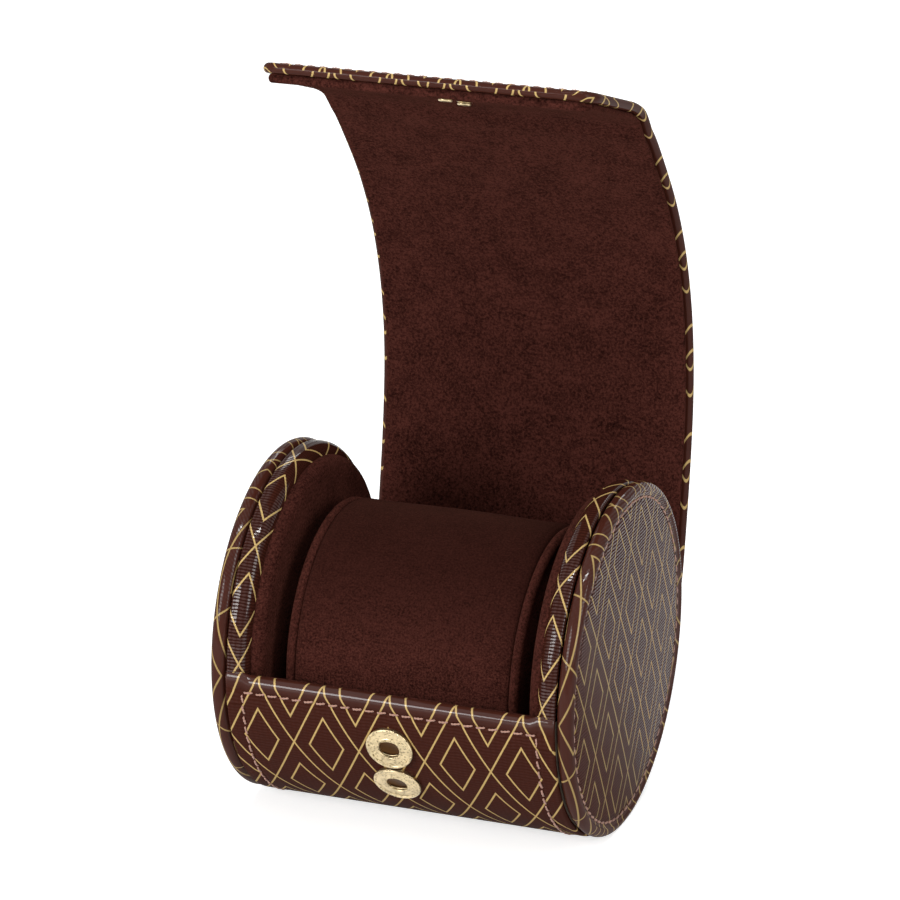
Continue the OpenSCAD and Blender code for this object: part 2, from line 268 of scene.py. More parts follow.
class Wire:
    """One output of a shader node, so that its maths reads as an expression."""

    def __init__(self, shader, socket):
        self.shader, self.socket = shader, socket

    def maths(self, operation, *values):
        return self.shader.node("ShaderNodeMath", {"operation": operation}, dict(enumerate(values)))

    def __add__(self, other):
        return self.maths("ADD", self, other)

    def __sub__(self, other):
        return self.maths("SUBTRACT", self, other)

    def __rsub__(self, other):
        return self.maths("SUBTRACT", other, self)

    def __mul__(self, other):
        return self.maths("MULTIPLY", self, other)

    def __truediv__(self, other):
        return self.maths("DIVIDE", self, other)

    def __abs__(self):
        return self.maths("ABSOLUTE", self)

    __radd__, __rmul__ = __add__, __mul__

    def sine(self):
        return self.maths("SINE", self)

    def part(self):
        """The fraction above the whole number below."""
        return self.maths("FRACT", self)

    def power(self, exponent):
        return self.maths("POWER", self, exponent)

    def larger(self, other):
        return self.maths("MAXIMUM", self, other)

    def smaller(self, other):
        return self.maths("MINIMUM", self, other)

    def step(self, low, high):
        """A smooth step from 0 at low to 1 at high, and low may be the larger."""
        settings = {"interpolation_type": "SMOOTHSTEP"}
        limits = {"From Min": min(low, high), "From Max": max(low, high)}
        ends = {"To Min": 0.0, "To Max": 1.0} if low < high else {"To Min": 1.0, "To Max": 0.0}
        return self.shader.node("ShaderNodeMapRange", settings, {"Value": self, **limits, **ends})


class Shader:
    """A material, or a world, under construction."""

    def __init__(self, name, kind="materials"):
        self.made = getattr(bpy.data, kind).new(name)
        self.made.use_nodes = True
        self.tree = self.made.node_tree
        self.tree.nodes.clear()

    def node(self, kind, settings=None, sockets=None, output=0):
        """Adds a node: its settings first, then the values and links of its sockets."""
        made = self.tree.nodes.new(kind)
        for key, value in (settings or {}).items():
            setattr(made, key, value)
        for key, value in (sockets or {}).items():
            socket = made.inputs[key]
            if isinstance(value, Wire):
                self.tree.links.new(value.socket, socket)
            else:
                socket.default_value = value
        return Wire(self, made.outputs[output]) if made.outputs else made

    def hide_place(self):
        """The place on the flat hide, in millimetres: along the barrel, round it, and both as a vector."""
        both = self.node("ShaderNodeUVMap", {"uv_map": "cut"})
        return self.axis(both, 0), self.axis(both, 1), both

    def solid_place(self):
        """The place in the object, in millimetres."""
        place = self.node("ShaderNodeTexCoord", output="Object")
        return self.node("ShaderNodeVectorMath", {"operation": "SCALE"}, {"Vector": place, "Scale": 1 / MM})

    def axis(self, place, k):
        """One number of a place: 0 for x, 1 for y and 2 for z."""
        return self.node("ShaderNodeSeparateXYZ", None, {"Vector": place}, k)

    def seen(self):
        """1 for what the camera or a reflection sees, and 0 for what lights a matt surface."""
        camera = self.node("ShaderNodeLightPath", output="Is Camera Ray")
        return camera.larger(self.node("ShaderNodeLightPath", output="Is Glossy Ray"))

    def noise(self, place, size, detail=2.0, roughness=0.5):
        """Soft noise from 0 to 1, with lumps of about size millimetres."""
        values = {"Vector": place, "Scale": 1 / size, "Detail": detail, "Roughness": roughness}
        return self.node("ShaderNodeTexNoise", None, values)

    def mix(self, factor, first, second):
        """A colour from first at 0 to second at 1."""
        sockets = {"Factor": factor, 6: first, 7: second}
        return self.node("ShaderNodeMix", {"data_type": "RGBA"}, sockets, 2)

    def bump(self, height, distance_mm, strength=1.0, normal=None):
        """The normal of a surface that stands up by that distance where the height is 1."""
        sockets = {"Height": height, "Distance": distance_mm * MM, "Strength": strength}
        if normal:
            sockets["Normal"] = normal
        return self.node("ShaderNodeBump", None, sockets)

    def finish(self, **sockets):
        """The surface itself. Socket names have _ for a space."""
        named = {key.replace("_", " "): value for key, value in sockets.items()}
        surface = self.node("ShaderNodeBsdfPrincipled", None, named)
        self.node("ShaderNodeOutputMaterial", None, {"Surface": surface})
        return self.made


def rgba(colour, share=1.0):
    """A colour for a socket, lighter or darker by a share."""
    return (*(channel * share for channel in colour), 1.0)


def lattice(u, v, look):
    """Thin lines of a plain diamond lattice with a smaller diamond in each: 1 on a line, 0 beside it."""
    wide, tall = look.diamond_width / MM, look.diamond_height / MM
    slope = math.hypot(1 / wide, 1 / tall)
    sides = [abs(way.part() - 0.5) for way in (u / wide + v / tall, u / wide - v / tall)]
    outer = (0.5 - sides[0].larger(sides[1])) / slope
    inner = abs(sides[0].larger(sides[1]) - look.inner_diamond / 2) / slope
    half, blur = look.line_width / MM / 2, 0.05
    return outer.smaller(inner).step(half + blur, half - blur)


def grain(shader, u, v, place, look):
    """The pressed cross grain: fine ridges that run along u, crossed by weaker ones."""
    pitch, longer = look.grain_pitch / MM, 1.6
    wander = (shader.noise(place, 2.5, 3.0) - 0.5) * 0.7
    across = (v + wander) * (FULL_TURN / pitch)
    along = (u + wander) * (FULL_TURN / (longer * pitch))
    ridges = (across.sine() * 0.5 + 0.5).power(0.7)
    breaks = (along.sine() * 0.5 + 0.5).power(0.6)
    return ridges * (0.55 + breaks * 0.45)


def leather(name, polished=None, worn=0.0, faded=1.0, pressed=0.35, glossy=0.12, pale=1.0, dull=False):
    """Burgundy leather with a pressed cross grain and the printed gold lattice.

    polished tells from the place on the hide where it is rubbed smooth and glossy, as on a rolled edge.
    Elsewhere the ridges of the grain alone are glossy. worn adds to the roughness, faded is the strength of
    the print, pressed the depth of the grain and how dark its valleys are painted, a painted shade, and
    glossy the shine of its ridges. pale paints the hide lighter away from the polish, a painted sheen that
    stands for the glare on a cap's face, and dull takes the gloss off it low at the front.
    """
    look = bpy.context.scene.watch_case.leather
    shader = Shader(name)
    u, v, place = shader.hide_place()
    lines = lattice(u, v, look)
    ridges = grain(shader, u, v, place, look)
    pores = shader.noise(place, 0.35, 4.0, 0.6)
    cloudy = shader.noise(place, 9.0, 3.0)
    polish = polished(u, v) if polished else u * 0
    smooth = polish.smaller(1)
    printed = lines * shader.noise(place, 1.1, 3.0, 0.7).step(0.12, 0.42)
    tones = (0.82, 1.22)
    # pale paints the hide lighter away from the polish: a painted sheen
    dark, light = (shader.mix(smooth, rgba(look.colour, k * pale), rgba(look.colour, k)) for k in tones)
    hide = shader.mix(cloudy, dark, light)
    # painted shade: the grain's valleys are painted darker, the more so the deeper it is pressed
    shaded = rgba(look.colour, max(0.4, 0.95 - 0.28 * pressed) * pale)
    grained = shader.mix(ridges.larger(smooth), shaded, hide)
    gold = shader.mix(pores, *(rgba(look.print_colour, k * faded) for k in (0.85, 1.12)))
    colour = shader.mix(printed * (0.35 + 0.6 * faded), grained, gold)
    rough = look.roughness + (cloudy - 0.5) * 0.08 + printed * 0.12 + (1 - ridges) * 0.1 + worn
    soft = shader.bump(pores, 0.015, 0.5)
    cut = shader.bump(ridges * (1 - smooth), look.grain_depth / MM * pressed, 1.0, soft)
    if dull:
        y, z = (shader.axis(shader.solid_place(), k) for k in (1, 2))
        glossy = (y + z).step(-5, 45) * (glossy * 0.7) + glossy * 0.3
    shiny = (polish * 0.18).larger(ridges.step(0.2, 0.8) * glossy)
    return shader.finish(
        Base_Color=colour,
        Roughness=rough,
        Normal=shader.bump(printed, 0.02, 0.6, cut),
        Specular_IOR_Level=0.0,
        Coat_Weight=shiny * look.gloss,
        Coat_Roughness=0.09,
        IOR=1.5,
    )


def suede(name, solid=False, fibres=0.6, contrast=1.0, painted_shade_above=None):
    """Matt brown suede whose nap catches the light in patches.

    solid takes the nap from the place in the object, and otherwise from the place on the hide. Above the
    height painted_shade_above the suede is painted darker, a painted shade where less light falls.
    """
    look = bpy.context.scene.watch_case.suede
    shader = Shader(name)
    place = shader.solid_place() if solid else shader.hide_place()[2]
    brushed = shader.noise(place, 8.0, 4.0, 0.6)
    nap = shader.noise(place, 1.9, 5.0, 0.75)
    fibre = shader.noise(place, fibres, 5.0, 0.8)
    tone = ((brushed - 0.5) * 0.7 + (nap - 0.5) * 0.9 + (fibre - 0.5) * 3.4) * contrast + 0.5
    colour = shader.mix(tone.step(-0.2, 1.2), rgba(look.colour, 0.2), rgba(look.colour, 1.85))
    # painted shade: above a height the suede is painted darker, as on the pillow's top
    if painted_shade_above:
        height = shader.axis(shader.solid_place(), 2) + (brushed - 0.5) * 12
        dark = height.step(painted_shade_above / MM, painted_shade_above / MM + 30) * 0.7
        colour = shader.mix(dark, colour, rgba(look.colour, 0.35))
    furry = shader.bump(fibre, 0.16, 1.0)
    return shader.finish(
        Base_Color=colour,
        Roughness=0.9 + (nap - 0.5) * 0.1,
        Normal=shader.bump(nap, 0.16, 0.6, furry),
        Sheen_Weight=look.sheen,
        Sheen_Roughness=0.5,
        Sheen_Tint=rgba(look.sheen_colour),
        Specular_IOR_Level=0.0,
    )


def thread(name):
    """Waxed thread with its twist, whose grooves are painted darker than its strands: painted shade."""
    look = bpy.context.scene.watch_case.thread
    shader = Shader(name)
    u, v, _ = shader.hide_place()
    twist = ((u / 0.55 + v * 2) * FULL_TURN).sine() * 0.5 + 0.5
    # painted shade: the twist's grooves are painted darker, its strands lighter
    colour = shader.mix(twist, rgba(look.colour, 0.72), rgba(look.colour, 1.12))
    return shader.finish(
        Base_Color=colour,
        Roughness=0.55 + (1 - twist) * 0.15,
        Normal=shader.bump(twist, 0.06, 0.8),
        Sheen_Weight=0.2,
    )


def pale_gold(name, stippled=True, inside=False):
    """Pale gold plate, stippled where it is pressed with its dimples painted darker, and painted dark amber
    down inside a ring, a painted shade in the hole.
    """
    look = bpy.context.scene.watch_case.metal
    # inside paints the metal dark amber: painted shade down in a ring's hole
    plate = look.inside if inside else look.colour
    shader = Shader(name)
    place = shader.solid_place()
    brush = shader.noise(place, 0.5, 4.0, 0.7)
    specks = shader.node("ShaderNodeTexVoronoi", {"feature": "F1"}, {"Vector": place, "Scale": 1 / 0.62})
    stipple = specks.step(0.12, 0.5)
    tarnish = shader.noise(place, 1.8, 3.0).step(0.35, 0.75)
    colour = shader.mix(tarnish, rgba(plate, 1.08), rgba(plate, 0.8))
    # painted shade: the stipple's dimples are painted darker
    if stippled:
        colour = shader.mix((1 - stipple) * 0.7, colour, rgba(plate, 0.4))
    smooth = shader.bump(brush, 0.01, 0.5)
    return shader.finish(
        Base_Color=colour,
        Metallic=0.97 - tarnish * 0.05,
        Roughness=look.roughness + brush * 0.14,
        Normal=shader.bump(stipple, 0.14, 1.0, smooth) if stippled else smooth,
    )


def plain_board(name, colour):
    """Grey pressed board or foam, unseen when the case is whole."""
    shader = Shader(name)
    place = shader.solid_place()
    fibres = shader.noise(place, 0.7, 5.0, 0.7)
    mottled = shader.mix(fibres, rgba(colour, 0.75), rgba(colour, 1.15))
    rough = 0.85 + fibres * 0.1
    return shader.finish(Base_Color=mottled, Roughness=rough, Normal=shader.bump(fibres, 0.1, 0.6))


MATERIALS = {}


def finish_of(name, make):
    """The material of that name, made once."""
    if name not in MATERIALS:
        MATERIALS[name] = make(name)
    return MATERIALS[name]


# ---- sizes and colours that a user would change ----


def number(name, description, default, **kind):
    return bpy.props.FloatProperty(name=name, description=description, default=default, **kind)


def metres(name, description, default):
    return number(name, description, default, min=0, unit="LENGTH", precision=5)


def fraction(name, description, default):
    return number(name, description, default, min=0, max=1, subtype="FACTOR")


def paint(name, description, default):
    kind = {"min": 0, "max": 1, "size": 3, "subtype": "COLOR"}
    return bpy.props.FloatVectorProperty(name=name, description=description, default=default, **kind)


class WATCHCASE_PG_leather(bpy.types.PropertyGroup):
    """The leather and its gold print."""

    colour: paint("Colour", "Colour of the leather", (0.057, 0.0158, 0.0100))
    print_colour: paint("Print", "Colour of the printed lines", (0.62, 0.43, 0.165))
    roughness: fraction("Roughness", "Roughness of the leather", 0.27)
    gloss: fraction("Gloss", "Weight of the clear finish", 0.9)
    grain_pitch: metres("Grain pitch", "Distance between two pressed ridges", 0.75 * MM)
    grain_depth: metres("Grain depth", "Depth of the pressed grain", 0.06 * MM)
    line_width: metres("Line width", "Width of a printed line", 0.39 * MM)
    diamond_width: metres("Diamond width", "Width of a printed diamond", 15.4 * MM)
    diamond_height: metres("Diamond height", "Height of a printed diamond", 27 * MM)
    inner_diamond: fraction("Inner diamond", "Size of the inner diamond as a share of the outer one", 0.52)
    stitch_inset: metres("Stitch inset", "Distance from an edge to its stitches", 3.6 * MM)


class WATCHCASE_PG_suede(bpy.types.PropertyGroup):
    """The suede lining."""

    colour: paint("Colour", "Colour of the suede", (0.052, 0.0152, 0.0112))
    sheen: fraction("Sheen", "Weight of the nap's sheen", 0.08)
    sheen_colour: paint("Sheen colour", "Colour of the nap's sheen", (0.62, 0.26, 0.18))


class WATCHCASE_PG_thread(bpy.types.PropertyGroup):
    """The stitches."""

    colour: paint("Colour", "Colour of the thread", (0.50, 0.27, 0.20))
    pitch: metres("Pitch", "Distance from stitch to stitch", 2.85 * MM)
    length: metres("Length", "Length of a stitch", 2.35 * MM)
    thickness: metres("Thickness", "Thickness of the thread", 0.54 * MM)
    slant: number("Slant", "Slant of a stitch, in degrees", 7.0)


class WATCHCASE_PG_metal(bpy.types.PropertyGroup):
    """The snaps."""

    colour: paint("Colour", "Colour of the plated metal", (0.62, 0.50, 0.30))
    # painted shade: the dark colour of the metal inside a ring stands for the shade in its hole
    inside: paint("Inside", "Colour of the metal down inside a ring", (0.06, 0.026, 0.008))
    roughness: fraction("Roughness", "Roughness of the plate", 0.22)


class WATCHCASE_PG_studio(bpy.types.PropertyGroup):
    """The floor, the lamps and the camera's place."""

    floor_colour: paint("Floor", "Colour of the floor", (0.86, 0.86, 0.86))
    key_power: number("Key lamp", "Power of the large lamp", 6.2, unit="POWER")
    fill_power: number("Fill lamp", "Power of the side lamp", 2.8, unit="POWER")
    top_power: number("Top lamp", "Power of the strip overhead", 3.2, unit="POWER")
    rim_power: number("Rim lamp", "Power of the rear lamp", 2.5, unit="POWER")
    azimuth: number("Azimuth", "Camera's turn round the case", 0.354971, subtype="ANGLE")
    elevation: number("Elevation", "Camera's height angle", 0.355720, subtype="ANGLE")
    distance: metres("Distance", "Camera's distance from the barrel's axis", 1.016823)
    aside: number("Aside", "Sideways move of the camera", -0.000273, unit="LENGTH")
    rise: number("Rise", "Upward move of the camera", 0.041594, unit="LENGTH")
    lens: number("Lens", "Focal length, in millimetres", 180.355)


class WATCHCASE_PG_all(bpy.types.PropertyGroup):
    """Everything that can be set."""

    leather: bpy.props.PointerProperty(type=WATCHCASE_PG_leather)
    suede: bpy.props.PointerProperty(type=WATCHCASE_PG_suede)
    thread: bpy.props.PointerProperty(type=WATCHCASE_PG_thread)
    metal: bpy.props.PointerProperty(type=WATCHCASE_PG_metal)
    studio: bpy.props.PointerProperty(type=WATCHCASE_PG_studio)


# ---- pieces of the case ----


def place(made, body, slot, *nodes):
    """Puts a finished piece on its body and hides the solids it stands for."""
    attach(made, body)
    if nodes:
        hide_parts(*nodes)
    return made


def rim_polish(u, v):
    """Polished on a cap's rolled rim, outside its seam."""
    return (u * u + v * v).power(0.5).step((CAP_R - 3.2 * MM) / MM, (CAP_R - 2.6 * MM) / MM)


def front_edge_polish(u, v):
    """Polished on the wrap's rolled front edge, and most along its crest."""
    return abs(v).step(3.2, 2.0) + abs(v + 0.9).step(0.9, 0.2) * 3.5


def lid_edge_polish(u, v):
    """Polished on the rolled edges of the lid."""
    side = abs(u).step(LID_HALF / MM - 1.8, LID_HALF / MM - 1.0)
    return side.larger((v + LID_TOTAL / MM).step(1.8, 1.0))


def cap_leather(name):
    # pale=1.45 paints the cap's face lighter than its rim: a painted sheen standing for its glare
    return leather(name, rim_polish, worn=0.06, faded=0.8, pressed=3.0, glossy=0.72, pale=1.45, dull=True)


def band_leather(name):
    return leather(name, pressed=1.6, glossy=0.9)


def wrap_leather(name):
    return leather(name, front_edge_polish)


def lid_leather(name):
    return leather(name, lid_edge_polish)


def lid_suede(name):
    return suede(name, solid=True)


def pillow_suede(name):
    # the pillow's top is painted darker: painted shade
    return suede(name, fibres=0.5, contrast=1.1, painted_shade_above=PILLOW_Z)


def stud_gold(name):
    return pale_gold(name, stippled=False)


def shaded_hole_gold(name):
    return pale_gold(name, stippled=False, inside=True)


def brown_suede():
    return finish_of("suede", suede)


def waxed_thread():
    return finish_of("thread", thread)


class WATCHCASE_OT_caps(bpy.types.Operator):
    """Build the two padded end caps with their rolled rims and sewn faces"""

    bl_idname = "watchcase.caps"
    bl_label = "End caps"

    def execute(self, context):
        settings = context.scene.watch_case
        cover = finish_of("cap_leather", cap_leather)
        depth = CAP_OUT_X - CAP_X
        rim = depth / 2
        seam_r = CAP_R - 3.4 * MM
        sunk, crown, crease = 0.4 * MM, 0.8 * MM, 0.42 * MM
        hem_r, hem_t = 28 * MM, 0.6 * MM
        face = []
        for r in np.linspace(0, seam_r + 0.9 * MM, 70):
            puff = crown * (1 - (r / seam_r) ** 2) if r < seam_r else 0
            groove = crease * math.exp(-(((r - seam_r) / crease) ** 2))
            face.append((r, depth - sunk + puff - groove))
        slope = zip(np.linspace(seam_r + 1.0 * MM, CAP_R - rim - 0.05 * MM, 6), np.linspace(0.1, 1, 6))
        lead = [(r, depth - sunk * (1 - ease(0, 1, t))) for r, t in slope]
        roll = arc((CAP_R - rim, rim), rim, 90, -90, 26)
        back = [(r, 0) for r in np.linspace(CAP_R - rim - 1 * MM, hem_r, 6)]
        profile = np.concatenate([face, lead, roll, back, [(hem_r, hem_t), (0, hem_t)]])
        count = round(FULL_TURN * seam_r / settings.thread.pitch)
        for side, name in ((1, "right"), (-1, "left")):
            placed = (profile + (0, CAP_X)) * (1, side)
            made = revolve(f"cap_cover_{name}", placed, cover, steps=count * 5, floor=0.0, flat_face=True)
            place(made, "case", "leather", f"cap_leather_{name}")
            turns = np.linspace(0, FULL_TURN, count, endpoint=False)
            y, z = seam_r * np.cos(turns), seam_r * np.sin(turns)
            x = np.full(count, side * (CAP_X + depth - sunk - 0.34 * MM))
            centres = np.stack([x, y, AXIS_Z + z], 1)
            ways = np.stack([0 * turns, -z, y], 1)
            faces = np.tile([side, 0, 0], (count, 1))
            thread_name = f"cap_thread_{name}"
            sewn = stitch_row(thread_name, centres, ways, faces, waxed_thread(), settings.thread, 3 + side)
            place(sewn, "case", "leather")
        return {"FINISHED"}


SHEET = 1.3 * MM  # the thickness of the wrap's leather
LID_REACH = HINGES["lid_1"].length
BACK_ANGLE = -math.degrees(math.atan2(HINGES["lid_1"][1], HINGES["lid_1"][0]))
RAMP_DROP = BACK_ANGLE + math.degrees(math.acos((WRAP_R - LID_T / 2) / LID_REACH))


def wrap_path():
    """The middle line of the wrap's leather, from the hem inside the front edge to the lid's ramp."""
    half = SHEET / 2
    edge_r = (WRAP_R - LINING_OUT_R) / 2
    top_y, top_z = -(WRAP_R - edge_r), EDGE_Z - AXIS_Z
    down = np.linspace(top_z - 5 * MM, top_z, 12, endpoint=False)
    hem = np.stack([np.full(12, top_y + edge_r - half), down], 1)
    roll = arc((top_y, top_z), edge_r - half, 0, 180, 20)
    drop = math.degrees(math.asin(AXIS_Z / WRAP_R))
    start = 180 + math.degrees(math.asin(-top_z / WRAP_R))
    front = arc((0, 0), WRAP_R - half, start + 0.3, 180 + drop, 110)
    back = arc((0, 0), WRAP_R - half, 360 - drop, 360 - RAMP_DROP, 60)
    path = np.concatenate([hem, roll, front, back])
    path[:, 1] = np.maximum(path[:, 1], half - AXIS_Z)
    return path


class WATCHCASE_OT_wrap(bpy.types.Operator):
    """Build the leather wrap with its rolled, stitched front edge"""

    bl_idname = "watchcase.wrap"
    bl_label = "Leather wrap"

    def execute(self, context):
        settings = context.scene.watch_case
        half = SHEET / 2
        path = wrap_path()
        tangent = np.gradient(path, axis=0)
        tangent /= np.linalg.norm(tangent, axis=1)[:, None]
        normal = np.stack([tangent[:, 1], -tangent[:, 0]], 1)
        distance = run(path)
        distance -= distance[np.argmax(path[:, 1])]
        loop_x, loop_w = self.section(half)
        x = np.broadcast_to(loop_x, (len(path), len(loop_x)))
        w = np.broadcast_to(loop_w, x.shape).copy()
        d = np.broadcast_to(distance[:, None], x.shape)
        inset = settings.leather.stitch_inset
        end_in = WRAP_HALF - inset - 0.4 * MM
        crease, sunk, puffed = 0.5 * MM, 0.22 * MM, 0.12 * MM
        front = np.exp(-(((d - inset) / crease) ** 2)) * (np.abs(x) < end_in + crease)
        ends = np.exp(-(((np.abs(x) - end_in) / crease) ** 2)) * (d > inset)
        puff = puffed * ease(0, 0.5 * inset, d) * ease(inset, 0.5 * inset, d)
        w += ease(-0.2, 0.2, w / half) * (puff - sunk * np.maximum(front, ends))
        # past the side walls the leather's edge is folded flat over the band
        fold_from, fold_to, fold_reach, fold_rise = 33.3 * MM, 34.3 * MM, 6 * MM, 0.9 * MM
        past = ease(fold_from, fold_to, np.abs(x))
        folded = (distance < 0.6 * MM)[:, None] * past
        y = path[:, :1] * (1 - folded) - (WRAP_R - half) * folded
        raised = fold_rise * past * ease(fold_reach, 0, np.abs(d))
        y += normal[:, :1] * w * (1 - 0.2 * folded)
        z = AXIS_Z + path[:, 1:] + normal[:, 1:] * w + raised
        points = np.stack([x, y, np.maximum(z, 0)], 2)
        # the lattice is drawn in a little along the wrap, so that it meets the lid's at the ramp
        diamond = settings.leather.diamond_height
        drawn = round(distance[-1] / diamond) * diamond / distance[-1]
        cut = np.stack([x, -d * drawn], 2) / MM
        cut = np.concatenate([cut, cut[:, :1]], 1)
        made = loft("wrap_cover", points, cut, finish_of("wrap_leather", wrap_leather), around=True)
        place(made, "case", "leather", "wrap")
        self.sew(settings, path, normal, distance, inset, end_in, half)
        return {"FINISHED"}

    def section(self, half):
        """The sheet's cross-section, with round edges: places along the barrel and heights, as one loop."""
        across, side = 96, 10
        edge = WRAP_HALF - half
        flat = np.linspace(-edge, edge, across)
        roll = half * np.exp(1j * np.radians(np.linspace(90, -90, side + 2)[1:-1]))
        x = np.concatenate([flat, edge + roll.real, flat[::-1], -edge - roll.real])
        w = np.concatenate([np.full(across, half), roll.imag, np.full(across, -half), -roll.imag])
        return x, w

    def sew(self, settings, path, normal, distance, inset, end_in, half):
        """Stitches along the front edge, and down both ends of the wrap to the flat underneath."""
        pitch = settings.thread.pitch
        lift = half - 0.12 * MM
        lowest = settings.thread.thickness * 0.75

        def at(d):
            """A stitch's place and the leather's way out, at a distance from the front edge."""
            y, z = (np.interp(d, distance, path[:, k]) for k in (0, 1))
            ny, nz = (np.interp(d, distance, normal[:, k]) for k in (0, 1))
            return np.array([y + ny * lift, max(AXIS_Z + z + nz * lift, lowest)]), np.array([0, ny, nz])

        count = round(2 * end_in / pitch)
        place_yz, up = at(inset)
        xs = (np.arange(count) - (count - 1) / 2) * (2 * end_in / count)
        centres = [np.array([x, *place_yz]) for x in xs]
        ways = [np.array([1.0, 0, 0])] * count
        ups = [up] * count
        last = distance[-1] - 1 * MM
        for s in (-1, 1):
            for d in np.arange(inset + pitch * 0.6, last, pitch):
                (y, z), up = at(d)
                (y1, z1), _ = at(d + 0.2 * MM)
                centres.append(np.array([s * end_in, y, z]))
                ways.append(np.array([0, y1 - y, z1 - z]))
                ups.append(up)
        sewn = stitch_row("wrap_thread", centres, ways, ups, waxed_thread(), settings.thread, 11)
        place(sewn, "case", "leather")


class WATCHCASE_OT_side_walls(bpy.types.Operator):
    """Build the leather bands and the suede pads of the two side walls"""

    bl_idname = "watchcase.side_walls"
    bl_label = "Side walls"

    def execute(self, context):
        roll, shoulder, lip, under = 0.8 * MM, 3.0 * MM, 0.4 * MM, 5 * MM
        outer = arc((BAND_R - roll, BAND_OUT_X - roll), roll, 90, 0, 8)
        inner = arc((BAND_R - shoulder, BAND_IN_X + shoulder), shoulder, 0, -84, 16)
        bead_r = BAND_R - shoulder - lip * 0.6
        bead = arc((bead_r, BAND_IN_X + lip * 0.4), lip, -30, -200, 10)
        inside = [(BAND_R - under, BAND_IN_X + 1.4 * MM), (BAND_R - under, BAND_OUT_X)]
        profile = np.concatenate([inside[1:], outer, inner, bead, inside])
        start = -BACK_ANGLE + 1
        end = 180 - math.degrees(math.asin(0.4 * MM / BAND_R))
        edge, crown = 2.4 * MM, 0.35 * MM
        face = [(r, PAD_IN_X - crown * (1 - (r / PAD_R) ** 2)) for r in np.linspace(0, PAD_R - edge, 24)]
        turned = arc((PAD_R - edge, PAD_IN_X + edge), edge, -86, 0, 14)
        pad = np.concatenate([face, turned, [(PAD_R, PAD_OUT_X), (0, PAD_OUT_X)]])
        for side, name in ((1, "right"), (-1, "left")):
            leather_band = finish_of("band_leather", band_leather)
            made = revolve(f"side_band_{name}", profile * (1, side), leather_band, start, end - start, 260)
            place(made, "case", "leather", f"wall_band_{name}")
            floor, placed = span(f"wall_pad_{name}", 2)[0], pad * (1, side)
            soft = revolve(f"side_pad_{name}", placed, brown_suede(), steps=200, floor=floor, flat_face=True)
            place(soft, "case", "suede", f"wall_pad_{name}")
        return {"FINISHED"}


# ---- the lid ----


TIP_RISE = 1.5 * MM
LIP_OVER = 2 * MM
BEND_REACH = {"tip_1": 11 * MM, "lid_9": 3.5 * MM}  # how far from these hinges the soft bend starts


def rounded(before, corner, after, reach):
    """Points of a soft bend at a corner, which starts and ends the same reach away from it."""
    first = corner + (before - corner).normalized() * reach
    last = corner + (after - corner).normalized() * reach
    return [first * (1 - t) ** 2 + corner * 2 * t * (1 - t) + last * t * t for t in np.linspace(0, 1, 25)]


def lid_line():
    """Stations down the lid's middle from the ramp's foot to the free edge, in one stretch for each hinge.

    Each station is a point and a direction. A stretch runs from the middle of one slat to the middle of the
    next.
    """
    foot = polar(WRAP_R - LID_T / 2, -RAMP_DROP)
    joints = [HINGES[body] for body in LID_BODIES]
    tip = joints[-1] + (joints[-1] - joints[-2]).normalized() * (tip_reach() + LIP_OVER)
    corners = [foot] + joints + [tip]
    line = [foot]
    straight, spacing = math.radians(0.5), 0.7 * MM
    for body, before, corner, after in zip(LID_BODIES, corners, corners[1:], corners[2:]):
        if (corner - before).angle(after - corner) > straight:
            nearly_half = 0.48 * min((corner - before).length, (after - corner).length)
            line += rounded(before, corner, after, BEND_REACH.get(body, nearly_half))
    line.append(tip)
    rough = np.array([tuple(point) for point in line])
    reach = run(rough)
    places = np.linspace(0, reach[-1], round(reach[-1] / spacing) + 1)
    fine = np.stack([np.interp(places, reach, rough[:, k]) for k in (0, 1)], 1)
    slopes = np.pad(np.gradient(fine, axis=0), ((2, 2), (0, 0)), "edge")
    ways = np.stack([np.convolve(slope, np.ones(5) / 5, "valid") for slope in slopes.T], 1)
    stations = [(Vector(point), Vector(way).normalized()) for point, way in zip(fine, ways)]
    middles = [tuple((a + b) / 2) for a, b in zip(joints, joints[1:])]
    cuts = [0, *(int(np.argmin(np.linalg.norm(fine - middle, axis=1))) for middle in middles), len(fine) - 1]
    return [stations[a : b + 1] for a, b in zip(cuts, cuts[1:])]


def tip_reach():
    """The length of the last slat, from its hinge to the free edge."""
    hinge = HINGES["tip_3"]
    way = (hinge - HINGES["tip_2"]).normalized()
    return max(
        (v.co.y - hinge[0]) * way[0] + (v.co.z - AXIS_Z - hinge[1]) * way[1]
        for v in frame["nodes"]["lid_leather_12"].data.vertices
    )


def slab_loop(half, low, high, roll, across):
    """The cross-section of a slab with round edges: places across it and depths, as one loop."""
    flat = np.linspace(-(half - roll), half - roll, across)
    deep, middle = (high - low) / 2, (low + high) / 2
    turn = np.radians(np.linspace(90, -90, 14)[1:-1])
    out, up = roll * np.cos(turn), deep * np.sin(turn)
    x = np.concatenate([flat, half - roll + out, flat[::-1], roll - half - out])
    w = np.concatenate([np.full(across, high), middle + up, np.full(across, low), middle - up])
    return x, w


def closing(remaining, corner, roll):
    """How far the sides draw in, and what share of the thickness is left, near the free edge."""
    near = np.clip(corner - remaining, 0, corner)
    drawn = corner - np.sqrt(np.maximum(corner**2 - near**2, 0))
    edge = np.clip(1 - remaining / roll, 0, 1)
    return drawn, np.sqrt(np.maximum(1 - edge**2, 0))


def tip_rise(s, x):
    """How far the limp tip stands out of line past its bend, a little more on the right than on the left."""
    before, after, twist = 5 * MM, 4 * MM, 0.2
    bend = LID_STARTS[10] - 0.5 * (HINGES["tip_2"] - HINGES["tip_1"]).length
    return TIP_RISE * ease(bend - before, bend + after, s) * (1 + twist * np.asarray(x) / LID_HALF)


